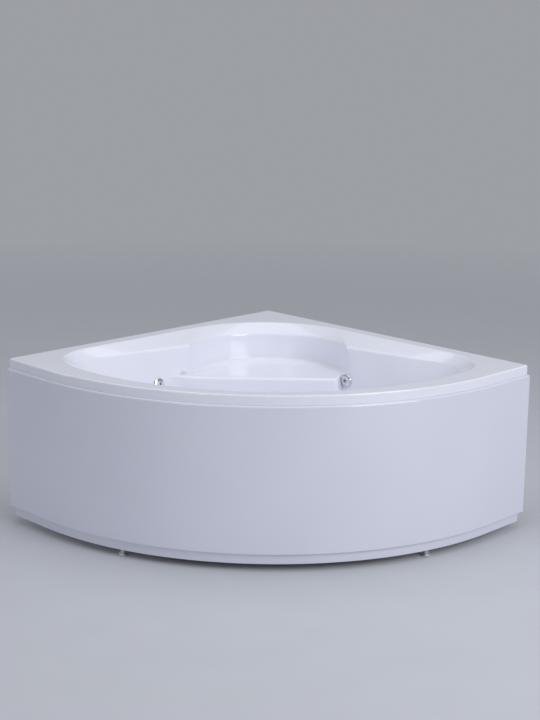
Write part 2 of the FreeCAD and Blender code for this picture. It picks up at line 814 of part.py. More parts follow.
def overflow_body():
    """Cup on the back of the wall with its outlet pointing down."""
    cup = turned([(18, 3.0), (27, 3.0), (27, 1.2), (20.5, 1.2), (20.5, -9.4), (30, -9.4), (32, -12),
                  (32, -30), (28, -34), (0, -34), (0, -31), (27, -31), (29, -28), (29, -14), (18, -12)])
    outlet = Part.makeCylinder(13, 44, vec(0, 0, -24), vec(0, -1, 0))
    inside = Part.makeCylinder(29.2, 15, vec(0, 0, -29))
    throat = Part.makeCylinder(18, 40, vec(0, 0, -29))
    bore = Part.makeCylinder(10.5, 46, vec(0, 0, -24), vec(0, -1, 0))
    return cup.fuse(outlet.cut([inside, throat])).cut(bore)


def overflow_knob():
    """Round knob on a stem; water enters through the slots round its rim, and turning it lifts the plug."""
    radius = overflow_radius
    knob = turned([(0, 15), (radius - 9, 14.4), (radius - 2, 12.2), (radius, 9.4), (radius, 4.2),
                   (radius - 2.5, 4.2), (radius - 2.5, 8.6), (radius - 5, 10.6), (5, 12), (5, -24), (0, -24)])
    slots = []
    for turn in range(20, 161, 20):
        slot = Part.makeBox(8, 5, 3.6, vec(radius - 6, -2.5, 4))
        slot.rotate(vec(0, 0), vec(0, 0, 1), turn + 180)
        slots.append(slot)
    grip = [Part.makeCylinder(7, 6, vec(0, radius + 2, 12))]
    grip.append(Part.makeCylinder(7, 6, vec(0, -radius - 2, 12)))
    return knob.cut(slots).cut(grip)


def start_button_bezel():
    return turned([(10.5, -14), (10.5, 1.5), (18, 1.5), (18, 0.6), (22, 0.6), (23, 1.6), (21, 4.2), (13, 5),
                   (12, 4.6), (8.6, 4.6), (8.6, -14)])


def start_button():
    return turned([(0, 6.5), (5, 6.2), (8.0, 5.2), (8.3, 4.2), (8.3, -8), (0, -8)])


def start_button_nut():
    return hex_nut(17, 10.6, -14, 5.6)


# ---- pump ----------------------------------------------------------------------------------------------

def pump_volute():
    """Wet end of the pump: round casing, inlet on its axis, outlet rising from its side."""
    half = volute_width / 2
    edge = volute_radius - 10
    inner = volute_radius - 6
    casing = turned([(0, half), (60, half), (edge, half - 6), (volute_radius, half - 16),
                     (volute_radius, 16 - half), (edge, 6 - half), (34, -half), (30, -half - 26),
                     (22, -half - 26), (22, 8 - half), (60, 9 - half), (inner, 20 - half),
                     (inner, half - 18), (62, half - 6), (0, half - 6)])
    outlet = Part.makeCylinder(22, 112, vec(46, 0, 0), vec(0, 1, 0))
    bore = Part.makeCylinder(17, 114, vec(46, 0, 0), vec(0, 1, 0))
    return casing.fuse(outlet.cut(Part.makeCylinder(volute_radius - 7, 30, vec(0, 0, -15)))).cut(bore)


def pump_motor():
    """Finned motor can."""
    start = volute_width / 2 + 0.5
    end = start + motor_length - 34
    flange = volute_radius - 12
    can = turned([(0, start), (flange, start), (flange, start + 8), (motor_radius, start + 10),
                  (motor_radius, end), (0, end)])
    fins = []
    for turn in range(0, 360, 20):
        fin = Part.makeBox(fin_height + 2, 3, motor_length - 60, vec(motor_radius - 2, -1.5, start + 14))
        fin.rotate(vec(0, 0), vec(0, 0, 1), turn)
        fins.append(fin)
    return can.fuse(fins)


def pump_fan_cover():
    """Cap over the cooling fan with a ring of air slots."""
    start = volute_width / 2 + motor_length - 33
    inner = motor_radius + 0.3
    outer = motor_radius + 2.5
    cap = turned([(inner, start - 10), (outer, start - 10), (outer, start + 30), (58, start + 36),
                  (0, start + 36), (0, start + 34), (57, start + 34), (inner, start + 29)])
    slots = []
    for turn in range(0, 360, 30):
        slot = Part.makeBox(28, 7, 8, vec(20, -3.5, start + 31))
        slot.rotate(vec(0, 0), vec(0, 0, 1), turn)
        slots.append(slot)
    return cap.cut(slots)


def pump_cradle():
    """Plate on the two short rails with a saddle under the motor."""
    floor = upper_rail_z + tube
    plate = Part.makeBox(560, 150, 4, vec(-280, pump_y - 75, floor))
    saddle = Part.makeBox(110, 120, pump_z - floor - 4, vec(25, pump_y - 60, floor + 4))
    hollow_part = Part.makeBox(120, 90, pump_z - floor - 4, vec(20, pump_y - 45, floor - 3 - 35))
    drum = rod(motor_radius + fin_height + 0.5, vec(0, pump_y, pump_z), vec(200, pump_y, pump_z))
    return plate.fuse(saddle.cut(drum).cut(hollow_part))


def suction_cover():
    """Round guard with rings of holes over the suction."""
    cover = turned([(0, 9), (30, 8), (40, 5), (43, 1), (43, 0), (38, 0), (36, 3), (28, 5.6), (0, 6.4)])
    holes = []
    for radius, count in ((10, 6), (20, 12), (30, 18)):
        for i in range(count):
            turn = 2 * pi * i / count
            holes.append(Part.makeCylinder(2.6, 20, vec(radius * cos(turn), radius * sin(turn), 0)))
    return cover.cut(holes)


def suction_body():
    return turned([(22, 2), (34, 2), (34, 0.2), (24.8, 0.2), (24.8, -60), (22, -60)])


def suction_nut():
    return hex_nut(38, 25, -18, 10)


# ---- wall hooks ----------------------------------------------------------------------------------------

def wall_hook(side, along):
    """Plate screwed to the room wall whose tongue stands up inside the lip of the deck."""
    under = deck_z - lip_drop
    low = under - hook_drop
    near = wall_skin + 1
    far = near + hook_plate
    profile = [(0, low), (hook_plate, low), (hook_plate, under - 3.5), (far, under - 3.5), (far, under + 22),
               (near, under + 22), (near, under - 1.5), (0, under - 1.5)]
    start = wing(side, along - hook_width / 2, 0)
    way = (wing(side, along, 0) - start).normalize()
    out = (wing(side, along - hook_width / 2, 10) - start).normalize()
    corners = [start + out * a + vec(0, 0, z) for a, z in profile]
    hook = Part.Face(Part.makePolygon(corners + corners[:1])).extrude(way * hook_width)
    for offset in (hook_screw_inset, hook_width - hook_screw_inset):
        spot = start + way * offset + vec(0, 0, under - 34)
        hook = hook.cut(rod(hook_screw_radius, spot - out * 2, spot + out * 6))
    return hook


# ---- pipework ------------------------------------------------------------------------------------------

def port_end(name, drop):
    """Lower end of a jet's water port."""
    point, axis = jets[name]
    side = vec(0, 0, 1).cross(axis).normalize()
    up = axis.cross(side)
    middle = (jet_chamber_front + jet_chamber_back) / 2
    return point + axis * middle - up * drop, up


tee_point = vec(-46.0, pump_y + 46, manifold_z)


def pressure_tee():
    """Tee on the pump outlet with its two arms level."""
    stem = rod(22, tee_point - vec(0, 0, 19.5), tee_point)
    arms = rod(20, tee_point - vec(34, 0), tee_point + vec(34, 0))
    bore = rod(pipe_radius, tee_point - vec(40, 0), tee_point + vec(40, 0))
    return stem.fuse(arms).cut(bore).cut(rod(17, tee_point - vec(0, 0, 24), tee_point))


def pressure_pipe(name, side, start_out):
    """Pipe from the tee round behind the wing wall and up into the port of one jet."""
    end, up = port_end(name, port_drop)
    start = tee_point + vec(side * 24, 0)
    turn = wing(side, 520, start_out) + vec(0, 0, manifold_z)
    low = end - up * 30
    points = [start, turn, low, end + up * 10]
    return pipe(points, pipe_radius - 3.2, 24, 2.4)


def suction_pipe():
    point, axis = suction
    start = point - axis * 40
    inlet = vec(-volute_width / 2 - 18, pump_y, pump_z)
    beyond = inlet - vec(92, 0)
    points = [start, point - axis * 110, vec(beyond.x, point.y + 110, pump_z + 6), beyond, inlet]
    return pipe(points, 21.8, 30, 3)


def overflow_pipe():
    """Pipe from the overflow down behind the front wall, in under the board, to the waste."""
    point, axis = overflow
    side = vec(0, 0, 1).cross(axis).normalize()
    up = axis.cross(side)
    start = point - axis * 24 - up * 40
    entry = vec(0, waste_y - 55, floor_top - 46)
    points = [start, start - up * 60, vec(0, floor_front_y - 62, 330)]
    points += [vec(0, floor_front_y - 20, entry.z), entry]
    return pipe(points, 10.4, 22, 2)


def trap_outlet():
    """Drain pipe from the trap, level under the frame, to the left-hand wall."""
    lift = vec(0, 0, trap_outlet_z)
    start = vec(-trap_radius - 0.3, waste_y) + lift
    end = wing(-1, trap_outlet_along, 1) + lift
    elbow = wing(-1, trap_outlet_along, 160) + lift
    return pipe([start, vec(-220, waste_y) + lift, elbow, end], drain_radius, 60, drain_wall)


# ---- all pieces ----------------------------------------------------------------------------------------

save("front_panel", front_panel())
save("base_board", base_board())

save("front_cross_rail", front_cross_rail())
save("wing_cross_rail", wing_cross_rail())
save("centre_rail", level_tube(0, back_foot_y + tube / 2, 0, centre_rail_front_y, upper_rail_z))
for name, side in (("left", -1), ("right", 1)):
    x = side * side_rail_x
    save(name + "_side_rail", level_tube(x, side_rail_back_y, x, side_rail_front_y, upper_rail_z))
save("back_foot_block", back_foot_block())

deck_under = deck_z - wall_skin
rail_top = lower_rail_z + tube
save("back_post", post(vec(0, back_foot_y + 30.5), upper_rail_z, deck_under))
save("left_wing_post", post(feet["wing_left"], rail_top, deck_under))
save("right_wing_post", post(feet["wing_right"], rail_top, deck_under))
for name, side in (("left", -1), ("right", 1)):
    foot = feet["front_" + name]
    save(name + "_panel_post", post(foot, rail_top, panel_post_top))
    save(name + "_panel_clip", spring_clip(foot.x, foot.y))
    save(name + "_wall_hook", wall_hook(side, hook_along))

for name, point in feet.items():
    save(name + "_foot", levelling_foot(point))
lock_nuts = [hex_nut(nut_radius, stud_radius + stud_clearance, lower_rail_z - nut_thick, nut_thick)
             for point in feet.values()]
for nut, point in zip(lock_nuts, feet.values()):
    nut.translate(point)
save("foot_nuts", Part.makeCompound(lock_nuts))

for name, (point, axis) in jets.items():
    save(name + "_jet_cover", seated(jet_cover(), point, axis))
    save(name + "_jet_ball", seated(jet_ball(), point, axis))
    save(name + "_jet_body", seated(jet_body(), point, axis))
    save(name + "_jet_gasket", seated(jet_gasket(), point, axis))
    save(name + "_jet_nut", seated(jet_nut(jet_wall_back[name]), point, axis))

for name, shape in (("flange", waste_flange()), ("plug", waste_plug()), ("body", waste_body())):
    shape.translate(vec(0, waste_y, floor_top))
    save("waste_" + name, shape)
waste_gasket = ring(waste_radius + 2, waste_bore + 4.1, floor_top - wall_skin - 2.4, floor_top - wall_skin)
waste_gasket.translate(vec(0, waste_y))
save("waste_gasket", waste_gasket)
bottle = trap()
bottle.translate(vec(0, waste_y))
save("trap", bottle)
save("trap_outlet", trap_outlet())
save("overflow_body", seated(overflow_body(), *overflow))
save("overflow_knob", seated(overflow_knob(), *overflow))
save("overflow_gasket", seated(ring(29.5, 21.2, -9.3, -8.1), *overflow))
save("overflow_pipe", overflow_pipe())

save("start_button_bezel", seated(start_button_bezel(), *button))
save("start_button", seated(start_button(), *button))
save("start_button_nut", seated(start_button_nut(), *button))

pump_place = (vec(0, pump_y, pump_z), vec(1, 0))
for name, shape in (("pump_volute", pump_volute()), ("pump_motor", pump_motor()),
                    ("pump_fan_cover", pump_fan_cover())):
    save(name, seated(shape, *pump_place))
save("pump_cradle", pump_cradle())
save("suction_cover", seated(suction_cover(), *suction))
save("suction_body", seated(suction_body(), *suction))
save("suction_nut", seated(suction_nut(), *suction))
save("suction_pipe", suction_pipe())
save("pressure_tee", pressure_tee())
save("left_pressure_pipe", pressure_pipe("left", -1, 92))
save("right_pressure_pipe", pressure_pipe("right", 1, 84))
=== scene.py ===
import json
from math import cos, radians, sin

import bpy
from mathutils import Matrix, Vector
from mathutils.bvhtree import BVHTree

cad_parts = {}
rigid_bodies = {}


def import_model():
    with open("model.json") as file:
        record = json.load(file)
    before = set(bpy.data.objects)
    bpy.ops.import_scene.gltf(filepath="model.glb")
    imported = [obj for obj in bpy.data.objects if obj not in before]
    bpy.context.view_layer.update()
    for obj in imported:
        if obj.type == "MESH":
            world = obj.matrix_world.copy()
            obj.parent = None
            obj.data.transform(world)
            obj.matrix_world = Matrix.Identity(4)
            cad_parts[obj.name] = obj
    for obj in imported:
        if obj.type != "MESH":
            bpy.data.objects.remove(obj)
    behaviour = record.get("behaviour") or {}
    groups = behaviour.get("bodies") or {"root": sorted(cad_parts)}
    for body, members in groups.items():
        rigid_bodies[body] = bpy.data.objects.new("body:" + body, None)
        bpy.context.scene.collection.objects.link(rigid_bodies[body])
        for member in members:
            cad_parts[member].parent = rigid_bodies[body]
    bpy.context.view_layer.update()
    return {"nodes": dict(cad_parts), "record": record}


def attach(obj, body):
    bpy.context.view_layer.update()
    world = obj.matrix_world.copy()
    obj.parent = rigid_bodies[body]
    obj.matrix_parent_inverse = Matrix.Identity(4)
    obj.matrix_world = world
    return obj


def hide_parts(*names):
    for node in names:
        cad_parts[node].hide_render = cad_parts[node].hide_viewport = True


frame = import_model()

nodes = frame["nodes"]
bodyOf = {node: body for body, held in frame["record"]["behaviour"]["bodies"].items() for node in held}
slotOf = {part["node"]: part["material_slot"] for part in frame["record"]["subparts"]}


# shader maths as Python expressions, so that a finish reads as a formula
class Socket:
    def __init__(self, finish, link):
        self.finish = finish
        self.link = link

    def math(self, operation, other):
        return self.finish.node("ShaderNodeMath", {"operation": operation}, {0: self, 1: other})

    def __add__(self, other):
        return self.math("ADD", other)

    def __mul__(self, other):
        return self.math("MULTIPLY", other)

    __radd__ = __add__
    __rmul__ = __mul__


# one material: what is the same all over sits on the shader's own sockets, the rest arrives by put()
class Finish:
    def __init__(self, name, **same):
        self.material = bpy.data.materials.new(name)
        self.material.use_nodes = True
        self.tree = self.material.node_tree
        self.shader = self.tree.nodes["Principled BSDF"]
        for socket, value in same.items():
            self.shader.inputs[socket.replace("_", " ")].default_value = value
        self.place = self.node("ShaderNodeTexCoord", {}, {}, "Object")

    def node(self, kind, settings, inputs, output=0):
        made = self.tree.nodes.new(kind)
        for key, value in settings.items():
            setattr(made, key, value)
        for key, value in inputs.items():
            if isinstance(value, Socket):
                self.tree.links.new(value.link, made.inputs[key])
            else:
                made.inputs[key].default_value = value
        return Socket(self, made.outputs[output])

    def stretched(self, scale):
        return self.node("ShaderNodeMapping", {}, {"Vector": self.place, "Scale": scale})

    def noise(self, scale, detail, place=None):
        sizes = {"Vector": place or self.place, "Scale": scale, "Detail": detail}
        return self.node("ShaderNodeTexNoise", {}, sizes)

    # one tone for each cell of a broken-up surface
    def cells(self, scale, place=None):
        sizes = {"Vector": place or self.place, "Scale": scale}
        colour = self.node("ShaderNodeTexVoronoi", {}, sizes, "Color")
        return self.node("ShaderNodeSeparateColor", {}, {0: colour})

    def mix(self, share, first, second):
        return self.node("ShaderNodeMix", {"data_type": "RGBA"}, {0: share, 6: first, 7: second}, 2)

    # what lies from low to high is spread from start to end
    def spread(self, value, low, high, start=0.0, end=1.0):
        edges = {0: value, 1: low, 2: high, 3: start, 4: end}
        return self.node("ShaderNodeMapRange", {}, edges)

    def bump(self, height, depth):
        return self.node("ShaderNodeBump", {}, {"Height": height, "Distance": depth})

    def put(self, **links):
        for socket, value in links.items():
            self.tree.links.new(value.link, self.shader.inputs[socket.replace("_", " ")])
        return self.material


def shade(red, green, blue):
    return (red, green, blue, 1.0)


# finishes: a noise is given as its scale and detail, edges as the low and high of a spread
wholeRange = (0.0, 1.0)

# acrylic: a little milky in places, faintly rippled, and wiped dull here and there
acrylic = {
    "shell": (shade(0.905, 0.912, 0.985), shade(0.892, 0.900, 0.976)),
    # the panel is the same white acrylic as the shell, given a greyer, darker colour: painted shade on the
    # front panel
    "panel": (shade(0.785, 0.795, 0.885), shade(0.765, 0.776, 0.870)),
    "refraction": 1.49,
    "coat": 0.4,
    "coatRough": 0.03,
    "cloud": (2.6, 3.0),
    "cloudEdges": (0.35, 0.65),
    "ripple": (9.0, 1.0),
    "rippleDepth": 0.00035,
    "wipe": (30.0, 4.0),
    "wipeEdges": (0.3, 0.7),
    "rough": (0.06, 0.11),
}


def glossyAcrylic(moulding):
    clear, milky = acrylic[moulding]
    coat = {"Coat_Weight": acrylic["coat"], "Coat_Roughness": acrylic["coatRough"]}
    finish = Finish(moulding + "Acrylic", IOR=acrylic["refraction"], **coat)
    cloud = finish.spread(finish.noise(*acrylic["cloud"]), *acrylic["cloudEdges"])
    ripple = finish.noise(*acrylic["ripple"])
    wipe = finish.spread(finish.noise(*acrylic["wipe"]), *acrylic["wipeEdges"], *acrylic["rough"])
    base = finish.mix(cloud, clear, milky)
    return finish.put(Base_Color=base, Roughness=wipe, Normal=finish.bump(ripple, acrylic["rippleDepth"]))


# fibreglass: strands that lie two ways under the resin
fibreglass = {
    "resin": shade(0.60, 0.58, 0.50),
    "strand": shade(0.74, 0.72, 0.64),
    "refraction": 1.5,
    "strands": (55.0, 3.0),
    "along": (1.0, 6.0, 2.0),
    "across": (6.0, 1.0, 3.0),
    "edges": (0.42, 0.60),
    "rough": (0.35, 0.6),
    "depth": 0.0012,
}


def rawFibreglass():
    finish = Finish("rawFibreglass", IOR=fibreglass["refraction"])
    along = finish.noise(*fibreglass["strands"], finish.stretched(fibreglass["along"]))
    across = finish.noise(*fibreglass["strands"], finish.stretched(fibreglass["across"]))
    strands = finish.spread(along * 0.5 + across * 0.5, *fibreglass["edges"])
    base = finish.mix(strands, fibreglass["resin"], fibreglass["strand"])
    rough = finish.spread(strands, *wholeRange, *fibreglass["rough"])
    return finish.put(Base_Color=base, Roughness=rough, Normal=finish.bump(strands, fibreglass["depth"]))


# chrome: bright, with a thin film of water marks
chromePlate = {
    "bright": shade(0.86, 0.87, 0.89),
    "veil": shade(0.74, 0.75, 0.78),
    "film": (160.0, 3.0),
    "filmEdges": (0.35, 0.7),
    "rough": (0.05, 0.13),
}


def polishedChrome():
    finish = Finish("polishedChrome", Metallic=1.0)
    film = finish.spread(finish.noise(*chromePlate["film"]), *chromePlate["filmEdges"])
    base = finish.mix(film, chromePlate["bright"], chromePlate["veil"])
    return finish.put(Base_Color=base, Roughness=finish.spread(film, *wholeRange, *chromePlate["rough"]))


# zinc: spangled flakes, coarse on the tubes and fine on the small parts
zincCoats = {
    "galvanisedTube": {"pale": shade(0.62, 0.64, 0.66), "dark": shade(0.44, 0.46, 0.49), "spangle": 60.0},
    "platedFixings": {"pale": shade(0.70, 0.68, 0.58), "dark": shade(0.52, 0.50, 0.42), "spangle": 220.0},
    "footSteel": {"pale": shade(0.70, 0.71, 0.73), "dark": shade(0.55, 0.56, 0.58), "spangle": 160.0},
    "metallic": 0.85,
    "rough": (0.32, 0.5),
    "grainFiner": 6,
    "grainDetail": 2.0,
    "grainDepth": 0.00008,
}


def zincSteel(name):
    coat = zincCoats[name]
    finish = Finish(name, Metallic=zincCoats["metallic"])
    flake = finish.cells(coat["spangle"])
    base = finish.mix(flake, coat["dark"], coat["pale"])
    rough = finish.spread(flake, *wholeRange, *zincCoats["rough"])
    grain = finish.noise(coat["spangle"] * zincCoats["grainFiner"], zincCoats["grainDetail"])
    return finish.put(Base_Color=base, Roughness=rough, Normal=finish.bump(grain, zincCoats["grainDepth"]))


# plastic and rubber: a fine moulded grain over a slow drift of colour
mouldings = {
    "greyPlastic": {"base": shade(0.48, 0.49, 0.50), "faded": shade(0.43, 0.44, 0.45), "rough": 0.38},
    "darkPlastic": {"base": shade(0.028, 0.029, 0.032), "faded": shade(0.04, 0.04, 0.045), "rough": 0.42},
    "blackRubber": {"base": shade(0.018, 0.018, 0.018), "faded": shade(0.03, 0.03, 0.03), "rough": 0.68},
    "refraction": 1.46,
    "smoother": 0.06,
    "rougher": 0.08,
    "grain": (420.0, 3.0),
    "grainDepth": 0.00012,
    "drift": (14.0, 2.0),
    "edges": (0.3, 0.7),
}


def mouldedPlastic(name):
    look = mouldings[name]
    finish = Finish(name, IOR=mouldings["refraction"])
    grain = finish.noise(*mouldings["grain"])
    drift = finish.spread(finish.noise(*mouldings["drift"]), *mouldings["edges"])
    base = finish.mix(drift, look["base"], look["faded"])
    ends = (look["rough"] - mouldings["smoother"], look["rough"] + mouldings["rougher"])
    rough = finish.spread(grain, *mouldings["edges"], *ends)
    return finish.put(Base_Color=base, Roughness=rough, Normal=finish.bump(grain, mouldings["grainDepth"]))


# chipboard: pressed chips of several tones, blotched with glue
chipboard = {
    "glue": shade(0.56, 0.40, 0.24),
    "dark": shade(0.33, 0.21, 0.11),
    "pale": shade(0.68, 0.54, 0.36),
    "refraction": 1.4,
    "chipScale": 140.0,
    "chipStretch": (1.0, 1.7, 2.4),
    "chipShare": 0.6,
    "blotch": (26.0, 3.0),
    "blotchEdges": (0.35, 0.65),
    "grain": (300.0, 2.0),
    "grainShare": 0.4,
    "rough": (0.7, 0.85),
    "depth": 0.0004,
}


def pressedChips():
    finish = Finish("pressedChips", IOR=chipboard["refraction"])
    chip = finish.cells(chipboard["chipScale"], finish.stretched(chipboard["chipStretch"]))
    blotch = finish.spread(finish.noise(*chipboard["blotch"]), *chipboard["blotchEdges"])
    base = finish.mix(blotch, chipboard["glue"], finish.mix(chip, chipboard["dark"], chipboard["pale"]))
    grain = finish.noise(*chipboard["grain"])
    height = chip * chipboard["chipShare"] + grain * chipboard["grainShare"]
    rough = finish.spread(chip, *wholeRange, *chipboard["rough"])
    return finish.put(Base_Color=base, Roughness=rough, Normal=finish.bump(height, chipboard["depth"]))


# paint on the pump's motor: orange peel, worn in patches
motorPaint = {
    "fresh": shade(0.035, 0.06, 0.13),
    "worn": shade(0.06, 0.09, 0.17),
    "coat": 0.25,
    "coatRough": 0.2,
    "peel": (190.0, 2.0),
    "peelDepth": 0.00025,
    "patch": (22.0, 4.0),
    "patchEdges": (0.45, 0.75),
    "rough": (0.35, 0.5),
}


def enamelPaint():
    finish = Finish("enamelPaint", Coat_Weight=motorPaint["coat"], Coat_Roughness=motorPaint["coatRough"])
    peel = finish.noise(*motorPaint["peel"])
    patch = finish.spread(finish.noise(*motorPaint["patch"]), *motorPaint["patchEdges"])
    base = finish.mix(patch, motorPaint["fresh"], motorPaint["worn"])
    rough = finish.spread(patch, *wholeRange, *motorPaint["rough"])
    return finish.put(Base_Color=base, Roughness=rough, Normal=finish.bump(peel, motorPaint["peelDepth"]))


shellWhite = glossyAcrylic("shell")
# the panel's acrylic is the shell's white painted darker: painted shade
panelShadedWhite = glossyAcrylic("panel")
fibre = rawFibreglass()
finishOf = {
    "chipboard": pressedChips(),
    "zinc_steel": zincSteel("galvanisedTube"),
    "zinc_fixings": zincSteel("platedFixings"),
    "foot_steel": zincSteel("footSteel"),
    "chrome": polishedChrome(),
    "grey_plastic": mouldedPlastic("greyPlastic"),
    "dark_plastic": mouldedPlastic("darkPlastic"),
    "black_rubber": mouldedPlastic("blackRubber"),
    "motor_paint": enamelPaint(),
}
print("acrylic, fibreglass and other finishes:", len(finishOf))


# general modelling steps
merging = {"closer": 0.00001, "flatter": 0.3}


def onlySelect(piece):
    bpy.ops.object.select_all(action="DESELECT")
    piece.select_set(True)
    bpy.context.view_layer.objects.active = piece


def applyAll(piece):
    onlySelect(piece)
    for modifier in list(piece.modifiers):
        bpy.ops.object.modifier_apply(modifier=modifier.name)


def mergedCopy(node, name):
    piece = bpy.data.objects.new(name, nodes[node].data.copy())
    bpy.context.collection.objects.link(piece)
    onlySelect(piece)
    bpy.ops.object.mode_set(mode="EDIT")
    bpy.ops.mesh.select_all(action="SELECT")
    bpy.ops.mesh.remove_doubles(threshold=merging["closer"])
    bpy.ops.mesh.dissolve_limited(angle_limit=radians(merging["flatter"]))
    bpy.ops.object.mode_set(mode="OBJECT")
    return piece


def roundEdges(piece, width, sharper, segments):
    bevel = piece.modifiers.new("edges", "BEVEL")
    bevel.width = width
    bevel.segments = segments
    bevel.limit_method = "ANGLE"
    bevel.angle_limit = radians(sharper)
    bevel.use_clamp_overlap = True
    applyAll(piece)


def smoothFaces(piece, sharper):
    onlySelect(piece)
    bpy.ops.object.shade_smooth_by_angle(angle=radians(sharper))
    weigh = piece.modifiers.new("normals", "WEIGHTED_NORMAL")
    weigh.keep_sharp = True
    applyAll(piece)


def dressed(piece, node, finish):
    piece.data.materials.clear()
    piece.data.materials.append(finish)
    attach(piece, bodyOf[node])
    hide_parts(node)


# tub shell: glossy acrylic inside and on the deck, raw fibreglass on its hidden side
tubLooks = {"rimAngle": 65, "smoothAngle": 50, "deckZ": 0.649, "deckUp": 0.99}


def tubShell():
    piece = mergedCopy("tub_shell", "tubAcrylic")
    piece.data.materials.clear()
    piece.data.materials.append(shellWhite)
    piece.data.materials.append(fibre)
    bpy.ops.object.mode_set(mode="EDIT")
    bpy.ops.mesh.select_mode(type="EDGE")
    bpy.ops.mesh.select_all(action="DESELECT")
    bpy.ops.mesh.edges_select_sharp(sharpness=radians(tubLooks["rimAngle"]))
    bpy.ops.mesh.mark_seam()
    bpy.ops.mesh.select_mode(type="FACE")
    bpy.ops.mesh.select_all(action="DESELECT")
    bpy.ops.object.mode_set(mode="OBJECT")
    # the deck is on the side that shows; everything the seams cut off from it is behind
    for face in piece.data.polygons:
        face.select = face.center.z > tubLooks["deckZ"] and face.normal.z > tubLooks["deckUp"]
    bpy.ops.object.mode_set(mode="EDIT")
    bpy.ops.mesh.select_linked(delimit={"SEAM"})
    bpy.ops.mesh.select_all(action="INVERT")
    piece.active_material_index = 1
    bpy.ops.object.material_slot_assign()
    bpy.ops.object.mode_set(mode="OBJECT")
    behind = sum(face.material_index for face in piece.data.polygons)
    print("tub faces behind and in all:", behind, len(piece.data.polygons))
    smoothFaces(piece, tubLooks["smoothAngle"])
    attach(piece, bodyOf["tub_shell"])
    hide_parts("tub_shell")


# front panel: its ledge comes up to the lip, so that the joint is a fine line
panelLooks = {
    "ledgeFrom": 0.600,
    "lift": 0.0009,
    "edgeRound": 0.0018,
    "edgeAngle": 30,
    "edgeSegments": 3,
    "smoothAngle": 40,
}


def frontPanel():
    piece = mergedCopy("front_panel", "panelAcrylic")
    for corner in piece.data.vertices:
        corner.select = corner.co.z > panelLooks["ledgeFrom"]
    bpy.ops.object.mode_set(mode="EDIT")
    bpy.ops.mesh.select_mode(type="VERT")
    bpy.ops.transform.translate(value=(0, 0, panelLooks["lift"]))
    bpy.ops.object.mode_set(mode="OBJECT")
    roundEdges(piece, panelLooks["edgeRound"], panelLooks["edgeAngle"], panelLooks["edgeSegments"])
    smoothFaces(piece, panelLooks["smoothAngle"])
    dressed(piece, "front_panel", panelShadedWhite)


# seat ends: soft shoulders carry the front of the seat on into the side walls
# "bow" runs from seat to wall in plan: how far past the seat's end and how far behind its front
shoulders = {
    "left": {
        "sign": -1,
        "end": 0.322,
        "bow": ((-0.020, 0.0), (0.023, 0.004), (0.053, 0.018), (0.083, 0.0)),
        "ledge": (0.0, 0.050),
    },
    "right": {
        "sign": 1,
        "end": 0.288,
        "bow": ((-0.022, 0.0), (0.0, 0.004), (0.008, 0.050), (0.013, 0.0)),
        "ledge": (-0.030, 0.030),
    },
    "columns": 20,
    "levels": (0.212, 0.235, 0.26, 0.29, 0.32, 0.35, 0.38, 0.41, 0.44, 0.465, 0.486),
    "top": 0.4998,
    "nose": 0.0138,
    "noseSteps": 4,
    "noseFade": 0.8,
    "frontY": 0.098,
    "frontZ": 0.30,
    "frontLean": 0.137,
    "endZ": 0.46,
    "endLean": 0.14,
    "sheet": 0.0025,
    "bury": 0.002,
    "buryTop": 0.001,
    "probeY": -0.25,
    "probeZ": 0.56,
    "overSeat": 0.506,
    "tangentStep": 0.02,
    "smoothAngle": 60,
}


